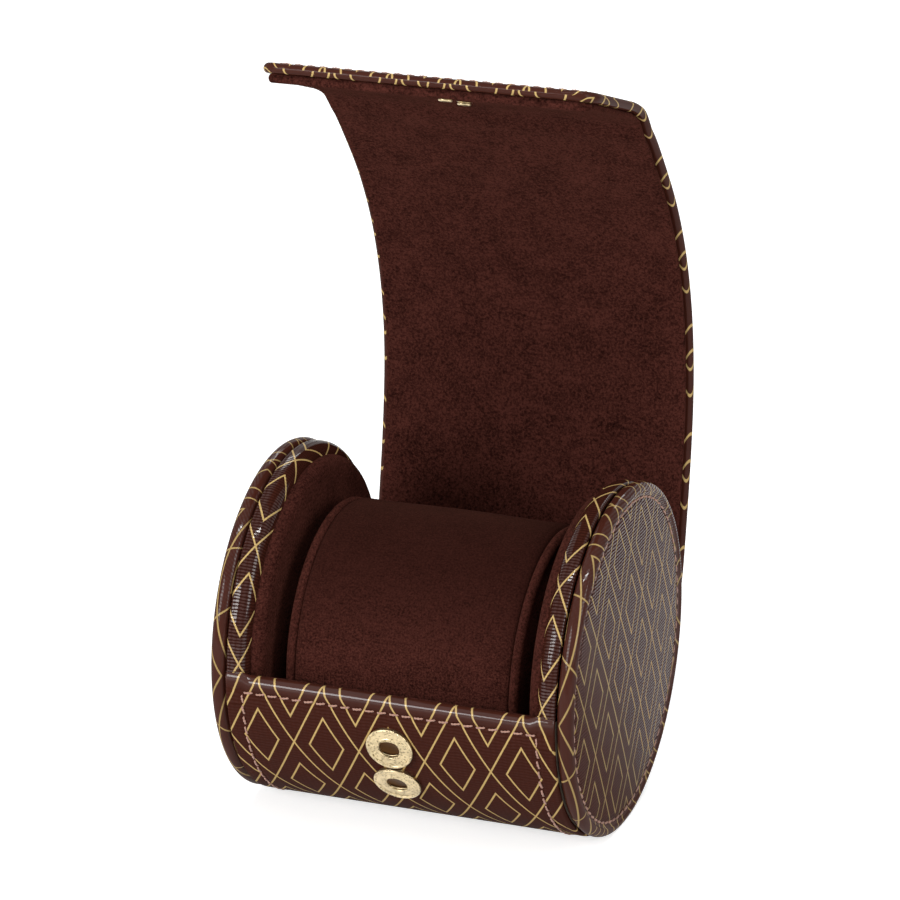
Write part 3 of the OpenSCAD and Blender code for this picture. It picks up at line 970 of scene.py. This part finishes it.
def lid_piece(k, stations, start_run, total, look, material, name):
    """One stretch of a lid layer, from the middle of one slat to the middle of the next.

    look is the layer's half width, the depths of its two sides, its edge's roll, the radius of its corners
    and how far it stops short of the free edge.
    """
    half, low, high, roll, corner, inset = look
    across, middle = 48, (low + high) / 2
    hem_at, hem_wide = 1 * MM, 1.6 * MM
    if k == len(LID_BODIES) - 1:
        stations = free_edge(stations, inset, roll)
    along = start_run + run(np.array([tuple(point) for point, way in stations]))
    rows, cuts = [], []
    for (point, way), s, left in zip(stations, along, np.maximum(total - inset - along, 0)):
        drawn, thick = closing(left, corner, roll)
        x, w = slab_loop(half - drawn, low, high, roll, across)
        under = (high - w) / (high - low)
        hem = HEM_DIP * math.exp(-(((left - hem_at) / hem_wide) ** 2)) if inset else 0
        w = middle + (w - middle) * thick - under * thick * hem + tip_rise(s, x)
        out = outwards(way)
        rows.append(np.stack([x, point[0] + out[0] * w, AXIS_Z + point[1] + out[1] * w], 1))
        over = under * 2 * min(left, roll)
        cuts.append(np.stack([x + np.sign(x) * under * (high - low), -(s + over)], 1) / MM)
    points, cut = np.array(rows), np.array(cuts)
    cut = np.concatenate([cut, cut[:, :1]], 1)
    return loft(name, points, cut, material, around=True)


def free_edge(stations, inset, roll):
    """Ends a lid layer short of the free edge by its inset, with close rows where the edge rolls over."""
    points = np.array([tuple(p) for p, w in stations])
    reach = run(points)
    end, close = reach[-1] - inset, 9 * MM
    coarse = np.linspace(0, end - close, 8, endpoint=False)
    fine = np.linspace(end - close, end - roll, 20, endpoint=False)
    over = end - roll + roll * np.sin(np.linspace(0, math.pi / 2, 12))
    made = []
    for s in np.concatenate([coarse, fine, over]):
        y, z = (np.interp(s, reach, points[:, i]) for i in (0, 1))
        i = np.searchsorted(reach, s) if s < reach[-2] else -1
        made.append((Vector((y, z)), stations[i][1]))
    return made


def bend_with_lid(made, k):
    """Bakes stretch k's placement into its mesh. The zone round its hinge where it would bend from one body
    to the next is worked out but not used.
    """
    bodies = ["case"] + LID_BODIES
    line = LID_LINE[k]
    hinge = HINGES[LID_BODIES[k]]
    widest, share = 9 * MM, 0.92
    room = min((hinge - line[0][0]).length, (line[-1][0] - hinge).length, widest) * share
    start, end = hinge - line[0][1] * room, hinge + line[-1][1] * room
    start, end = ((0, y, AXIS_Z + z) for y, z in (start, end))
    bodies[k + 1]
    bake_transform(made)


LID_LINE = lid_line()
LID_RUNS = [run(np.array([tuple(p) for p, w in line]))[-1] for line in LID_LINE]
LID_STARTS = [sum(LID_RUNS[:k]) for k in range(len(LID_RUNS))]
LID_TOTAL = sum(LID_RUNS)
LID_CORNER = 5 * MM
SKIN_LOW = -0.45 * MM  # the depth at which the leather meets the lining
HEM_DIP = 0.7 * MM  # how far the lining's hem hangs below it at the free edge


class WATCHCASE_OT_lid(bpy.types.Operator):
    """Build the lid's leather and its suede lining, stretch by stretch"""

    bl_idname = "watchcase.lid"
    bl_label = "Lid"

    def execute(self, context):
        top = LID_T / 2
        skin = (LID_HALF, SKIN_LOW, top, (top - SKIN_LOW) / 2, LID_CORNER, 0.0)
        inset = 1.3 * MM
        lining = (LID_HALF - inset, -top, SKIN_LOW - 0.02 * MM, 0.62 * MM, LID_CORNER - inset, inset)
        layers = (
            ("lid_cover", skin, finish_of("lid_leather", lid_leather), "leather", "lid_leather"),
            ("lid_lining", lining, finish_of("lid_suede", lid_suede), "suede", "lid_suede"),
        )
        for k, stations in enumerate(LID_LINE):
            for name, look, material, slot, solid in layers:
                made = lid_piece(k, stations, LID_STARTS[k], LID_TOTAL, look, material, f"{name}_{k + 1}")
                bend_with_lid(made, k)
                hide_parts(f"{solid}_{k + 1}")
                # the leather is softer than the boards where it bends most, so it stands for those too
                if slot == "leather" and (k == 0 or k >= LID_BODIES.index("lid_9")):
                    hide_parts(f"lid_board_{k + 1}")
        return {"FINISHED"}


class WATCHCASE_OT_lid_thread(bpy.types.Operator):
    """Sew a row of stitches round the lid's edges, on its leather side"""

    bl_idname = "watchcase.lid_thread"
    bl_label = "Lid stitches"

    def execute(self, context):
        settings = context.scene.watch_case
        pitch = settings.thread.pitch
        inset = settings.leather.stitch_inset
        line, ways = (np.array([tuple(row[i]) for stations in LID_LINE for row in stations]) for i in (0, 1))
        reach = run(line)
        sets = [([], [], []) for _ in LID_LINE]
        for x, s, way in self.places(pitch, inset):
            y, z = (np.interp(s, reach, line[:, j]) for j in (0, 1))
            dy, dz = (np.interp(s, reach, ways[:, j]) for j in (0, 1))
            out = np.array([0, dz, -dy])
            k = next((k for k in range(len(LID_LINE)) if s < LID_STARTS[k] + LID_RUNS[k]), len(LID_LINE) - 1)
            for mirror in (-1, 1):
                lift = LID_T / 2 - 0.05 * MM + tip_rise(s, mirror * x)
                centres, directions, normals = sets[k]
                centres.append(np.array([mirror * x, y, AXIS_Z + z]) + out * lift)
                directions.append(np.array([mirror * way[0], way[1] * dy, way[1] * dz]))
                normals.append(out)
        for k, (centres, directions, normals) in enumerate(sets):
            if centres:
                name, seed = f"lid_thread_{k + 1}", 20 + k
                sewn = stitch_row(name, centres, directions, normals, waxed_thread(), settings.thread, seed)
                bend_with_lid(sewn, k)
        return {"FINISHED"}

    def places(self, pitch, inset):
        """Each stitch of the right half: its x, its run down the lid and its direction in both."""
        corner = LID_CORNER - inset
        side_x, end = LID_HALF - inset, LID_TOTAL - inset
        first = 4 * MM
        straight = end - corner - first
        quarter = corner * math.pi / 2
        total = straight + quarter + side_x - corner
        count = round(total / pitch)
        for t in (np.arange(count) + 0.5) * total / count:
            if t < straight:
                yield side_x, first + t, (0, 1)
            elif t < straight + quarter:
                a = (t - straight) / corner
                x, s = side_x - corner + corner * math.cos(a), end - corner + corner * math.sin(a)
                yield x, s, (-math.sin(a), math.cos(a))
            else:
                yield side_x - corner - (t - straight - quarter), end, (-1, 0)


# ---- pillow, snaps and hidden boards ----


class WATCHCASE_OT_pillow(bpy.types.Operator):
    """Build the suede watch pillow with its sewn-in ends"""

    bl_idname = "watchcase.pillow"
    bl_label = "Watch pillow"

    def execute(self, context):
        body_half = PILLOW_HALF - PILLOW_LIP
        crown, shoulder = 0.5 * MM, 1.6 * MM
        about = (PILLOW_Y, PILLOW_Z)
        lip = PILLOW_LIP / 2
        rim = PILLOW_R - crown
        straight = np.linspace(0, body_half - shoulder, 30)
        half = [(PILLOW_R - crown * (x / body_half) ** 2, x) for x in straight]
        turn = [
            (rim - shoulder * 0.55 * (1 - math.cos(a)), body_half - shoulder + shoulder * math.sin(a))
            for a in np.linspace(0.1, math.pi / 2, 10)
        ]
        tuck = [(rim - 2.2 * MM, body_half + 0.1 * MM), (rim - 2.4 * MM, body_half - 1 * MM)]
        right = np.array(half + turn + tuck)
        sleeve = np.concatenate([right[:0:-1] * (1, -1), right])
        cover = finish_of("pillow_suede", pillow_suede)
        made = revolve("pillow_cover", sleeve, cover, steps=220, about=about)
        self.rumple(made, body_half)
        place(made, "pillow", "suede", "pillow_sleeve")
        sunk = PILLOW_HALF - 1.2 * MM
        face = [(r, sunk + crown * (1 - (r / rim) ** 2)) for r in np.linspace(0, rim - 2.6 * MM, 20)]
        piping = arc((rim - lip, body_half + lip), lip, 130, -90, 22)
        end = np.concatenate([face, piping, [(rim - lip * 2.4, body_half)]])
        for side, name in ((1, "right"), (-1, "left")):
            placed = end * (1, side)
            cap = revolve(f"pillow_cap_{name}", placed, brown_suede(), steps=220, about=about, flat_face=True)
            place(cap, "pillow", "suede", f"pillow_end_{name}")
        return {"FINISHED"}

    def rumple(self, made, body_half):
        """Gives the sleeve the slow rise and fall of stuffed suede."""
        mesh = made.data
        co = np.empty(len(mesh.vertices) * 3)
        mesh.vertices.foreach_get("co", co)
        co = co.reshape(-1, 3)
        y, z = co[:, 1] - PILLOW_Y, co[:, 2] - PILLOW_Z
        turn, r = np.arctan2(z, y), np.hypot(y, z)
        x, depth = co[:, 0], 0.1 * MM
        fade = ease(body_half, body_half - 8 * MM, np.abs(x))
        wave = np.sin(3 * turn + 1.1) * np.cos(90 * x + 0.6) + 0.6 * np.sin(5 * turn - 160 * x + 2)
        r -= depth * (1.6 - wave) * fade
        co[:, 1] = PILLOW_Y + r * np.cos(turn)
        co[:, 2] = PILLOW_Z + r * np.sin(turn)
        mesh.vertices.foreach_set("co", co.ravel())


def snap_axes():
    """The two snaps' directions from the barrel's axis, upper first."""
    co = np.array([v.co for v in frame["nodes"]["snap_sockets"].data.vertices])
    turn = np.degrees(np.arctan2(AXIS_Z - co[:, 2], -co[:, 1]))
    middle = (turn.min() + turn.max()) / 2
    return [float((part.min() + part.max()) / 2) for part in (turn[turn < middle], turn[turn > middle])]


def turned(name, profile, axis, centre, material, steps=96):
    """Turns a profile of (radius, height) about an axis in the Y-Z plane."""
    axis = Vector(axis).normalized()
    side = Vector((1, 0, 0))
    other = axis.cross(side)
    profile = np.asarray(profile)
    angles = np.linspace(0, FULL_TURN, steps + 1)
    r, h = profile[:, :1], np.repeat(profile[:, 1:], steps, 1)
    parts = zip((axis, side, other), (h, r * np.cos(angles[:-1]), r * np.sin(angles[:-1])))
    points = np.array(centre) + sum(reach[..., None] * np.array(way) for way, reach in parts)
    along = run(profile)[:, None] / MM
    cut = np.stack([along * np.cos(angles), along * np.sin(angles)], 2)
    return loft(name, points, cut, material, around=True)


class WATCHCASE_OT_sockets(bpy.types.Operator):
    """Build the two ring snaps on the front"""

    bl_idname = "watchcase.sockets"
    bl_label = "Ring snaps"

    def execute(self, context):
        ring_r, hole_r, height = 5.45 * MM, 2.35 * MM, 1.0 * MM
        rim, lip, dip, sunk = 0.38 * MM, 0.34 * MM, 0.16 * MM, 0.3 * MM
        plate = finish_of("snap_plate", pale_gold)
        hole = finish_of("snap_inside_shade", shaded_hole_gold)
        wire = finish_of("snap_stud", stud_gold)
        for angle, name in zip(snap_axes(), ("upper", "lower")):
            out = polar(1, 180 + angle)
            axis = (0, out[0], out[1])
            centre = Vector((0, out[0] * WRAP_R, AXIS_Z + out[1] * WRAP_R))
            face = height - dip
            outer = arc((ring_r - rim, height - rim), rim, -30, 160, 16)
            inner = arc((hole_r + lip, height - lip), lip, 30, 180, 14)
            dish = [(ring_r - 2.3 * rim, face - 0.03 * MM), (hole_r + 2.6 * lip, face)]
            well = [(hole_r, 0.3 * MM), (hole_r, 0)]
            profile = [(ring_r - sunk, -sunk), *outer, *dish, *inner, *well]
            ring = turned(f"snap_ring_{name}", profile, axis, centre, plate)
            place(ring, "case", "snap_metal", *(["snap_sockets"] if name == "upper" else []))
            bowl = [(hole_r + 0.1 * MM, 0.4 * MM), (hole_r - 0.3 * MM, 0.16 * MM), (0, 0.1 * MM)]
            # the well's floor is painted dark: painted shade down in the hole
            place(turned(f"snap_well_{name}", bowl, axis, centre, hole, 48), "case", "snap_metal")
            self.spring(name, centre, Vector(axis), wire)
        return {"FINISHED"}

    def spring(self, name, centre, axis, material):
        """The two wire bars that grip a stud's neck."""
        thickness, half, above = 0.22 * MM, 1.75 * MM, 0.5 * MM
        apart, closer = 1.95, 0.45  # mm from the middle, and how much nearer the bars come at their ends
        curve = bpy.data.curves.new(f"snap_spring_{name}", "CURVE")
        curve.dimensions = "3D"
        curve.bevel_depth = thickness / 2
        curve.bevel_resolution = 4
        curve.use_fill_caps = True
        side = Vector((1, 0, 0))
        other = axis.cross(side)
        for s in (-1, 1):
            line = curve.splines.new("POLY")
            line.points.add(8)
            for i, t in enumerate(np.linspace(-1, 1, 9)):
                bow = s * (apart - closer * t * t) * MM
                point = centre + side * (t * half) + other * bow + axis * above
                line.points[i].co = (*point, 1)
        place(piece(curve.name, curve, material), "case", "snap_metal")


class WATCHCASE_OT_studs(bpy.types.Operator):
    """Build the two studs on the hidden side of the lid's tip"""

    bl_idname = "watchcase.studs"
    bl_label = "Studs"

    def execute(self, context):
        metal = finish_of("snap_stud", stud_gold)
        r, h, flange, waist, edge = 1.6 * MM, 0.8 * MM, 4.6 * MM, 1.1 * MM, 0.4 * MM
        rivet_r, rivet_low, rivet_high = 4.2 * MM, -2.6 * MM, -2.0 * MM
        dome = arc((r - edge, h - edge), edge, 0, 90, 10)
        riveted = [(0, rivet_low), (rivet_r, rivet_low), (rivet_r, rivet_high), (waist, rivet_high)]
        sewn_in = [(waist, -0.35 * MM), (flange, -0.35 * MM), (flange, -0.15 * MM), (r + 0.5 * MM, -0.1 * MM)]
        neck = [(r + 0.25 * MM, 0), (r - 0.2 * MM, 0.1 * MM), (r - 0.2 * MM, 0.2 * MM), (r, 0.35 * MM)]
        profile = [*riveted, *sewn_in, *neck, *dome, (0, h)]
        way = (HINGES["tip_3"] - HINGES["tip_2"]).normalized()
        inward = -outwards(way)
        for name, body in (("upper", "tip_2"), ("lower", "tip_3")):
            low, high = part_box(f"stud_{name}")
            middle = (Vector(low) + Vector(high)) / 2
            hinge = HINGES[body]
            at = (middle.y - hinge[0]) * way[0] + (middle.z - AXIS_Z - hinge[1]) * way[1]
            k = LID_BODIES.index(body)
            s = LID_STARTS[k] + (hinge - LID_LINE[k][0][0]).length + at
            foot = hinge + way * at + inward * (LID_T / 2 - float(tip_rise(s, 0)))
            made = turned(f"snap_stud_{name}", profile, (0, *inward), (0, foot[0], AXIS_Z + foot[1]), metal)
            place(made, body, "snap_metal", f"stud_{name}", f"stud_rivet_{name}")
        return {"FINISHED"}


class WATCHCASE_OT_boards(bpy.types.Operator):
    """Finish the hidden boards, the foam, the rivets and the tub's lining"""

    bl_idname = "watchcase.boards"
    bl_label = "Boards and lining"

    def execute(self, context):
        board = finish_of("board", lambda n: plain_board(n, (0.16, 0.12, 0.09)))
        foam = finish_of("foam", lambda n: plain_board(n, (0.62, 0.58, 0.5)))
        lining = finish_of("tub_suede", lid_suede)
        plate = finish_of("snap_inside_shade", shaded_hole_gold)
        for name, solid in frame["nodes"].items():
            kind = (
                plate if "rivet" in name or name.startswith(("snap", "stud"))
                else foam if name == "pillow_core"
                else board if "board" in name
                else lining
            )
            solid.data.materials.clear()
            solid.data.materials.append(kind)
            solid.data.shade_smooth()
        return {"FINISHED"}


# ---- studio ----


class WATCHCASE_OT_stage(bpy.types.Operator):
    """Set up the floor, the lamps, the world and the camera"""

    bl_idname = "watchcase.stage"
    bl_label = "Studio"

    def execute(self, context):
        studio = context.scene.watch_case.studio
        self.floor(studio)
        self.lamps(studio)
        self.world()
        self.camera(studio)
        context.scene.view_settings.view_transform = "Standard"
        return {"FINISHED"}

    def floor(self, studio):
        mesh = bpy.data.meshes.new("floor")
        wide = 3.0
        corners = [(x * wide, y * wide, 0) for x, y in ((-1, -1), (1, -1), (1, 1), (-1, 1))]
        mesh.from_pydata(corners, [], [(0, 1, 2, 3)])
        shader = Shader("floor")
        glow = shader.mix(shader.seen(), (0, 0, 0, 1), (0.66, 0.66, 0.66, 1))
        pale = rgba(studio.floor_colour)
        shader.finish(Base_Color=pale, Roughness=0.9, Emission_Color=glow, Emission_Strength=1.0)
        piece("floor", mesh, shader.made)

    def lamps(self, studio):
        aimed_at = Vector((0, 0, 0.07))
        for name, power, size, where in (
            ("key", studio.key_power, (0.5, 0.4), (-0.5, -0.8, 0.42)),
            ("fill", studio.fill_power, (0.35, 0.6), (0.8, -0.3, 0.42)),
            ("top", studio.top_power, (0.6, 0.04), (0.05, -0.3, 0.95)),
            ("rim", studio.rim_power, (0.6, 0.3), (-0.1, 0.7, 0.7)),
        ):
            data = bpy.data.lights.new(name, "AREA")
            data.shape = "RECTANGLE"
            data.size, data.size_y = size
            data.energy = power
            lamp = bpy.data.objects.new(name, data)
            lamp.location = where
            lamp.rotation_euler = (aimed_at - lamp.location).to_track_quat("-Z", "Y").to_euler()
            bpy.context.scene.collection.objects.link(lamp)

    def world(self):
        """Even light, dim on matt surfaces and bright for the camera and in reflections."""
        shader = Shader("studio", "worlds")
        strength = shader.node("ShaderNodeMix", None, {"Factor": shader.seen(), "A": 0.22, "B": 1.0})
        sky = shader.node("ShaderNodeBackground", None, {"Color": (0.8, 0.8, 0.8, 1), "Strength": strength})
        shader.node("ShaderNodeOutputWorld", None, {"Surface": sky})
        bpy.context.scene.world = shader.made

    def camera(self, studio):
        data = bpy.data.cameras.new("camera")
        data.sensor_width = 36
        data.lens = studio.lens
        data.clip_end = 10
        turn, rise = studio.azimuth, studio.elevation
        back = Vector((math.sin(turn) * math.cos(rise), -math.cos(turn) * math.cos(rise), math.sin(rise)))
        right = Vector((math.cos(turn), math.sin(turn), 0))
        up = back.cross(right)
        camera = bpy.data.objects.new("camera", data)
        camera.location = Vector((0, 0, AXIS_Z)) + back * studio.distance
        camera.location += right * studio.aside + up * studio.rise
        camera.rotation_euler = (-back).to_track_quat("-Z", "Y").to_euler()
        bpy.context.scene.collection.objects.link(camera)
        bpy.context.scene.camera = camera


class WATCHCASE_PT_panel(bpy.types.Panel):
    """Lists the settings and the pieces of the watch case"""

    bl_idname = "WATCHCASE_PT_panel"
    bl_label = "Watch Case"
    bl_space_type = "VIEW_3D"
    bl_region_type = "UI"
    bl_category = "Watch Case"

    def draw(self, context):
        settings = context.scene.watch_case
        for group in ("leather", "suede", "thread", "metal", "studio"):
            box = self.layout.box()
            box.label(text=group.capitalize())
            values = getattr(settings, group)
            for key in values.__annotations__:
                box.prop(values, key)
        column = self.layout.column(align=True)
        for operator in OPERATORS:
            column.operator(operator.bl_idname)


OPERATORS = (
    WATCHCASE_OT_stage,
    WATCHCASE_OT_boards,
    WATCHCASE_OT_caps,
    WATCHCASE_OT_wrap,
    WATCHCASE_OT_side_walls,
    WATCHCASE_OT_lid,
    WATCHCASE_OT_lid_thread,
    WATCHCASE_OT_pillow,
    WATCHCASE_OT_sockets,
    WATCHCASE_OT_studs,
)
CLASSES = (
    WATCHCASE_PG_leather,
    WATCHCASE_PG_suede,
    WATCHCASE_PG_thread,
    WATCHCASE_PG_metal,
    WATCHCASE_PG_studio,
    WATCHCASE_PG_all,
    *OPERATORS,
    WATCHCASE_PT_panel,
)


def register():
    for made in CLASSES:
        bpy.utils.register_class(made)
    bpy.types.Scene.watch_case = bpy.props.PointerProperty(type=WATCHCASE_PG_all)


def unregister():
    del bpy.types.Scene.watch_case
    for made in reversed(CLASSES):
        bpy.utils.unregister_class(made)


def main():
    register()
    for operator in OPERATORS:
        group, action = operator.bl_idname.split(".")
        getattr(getattr(bpy.ops, group), action)()


if __name__ == "__main__":
    main()
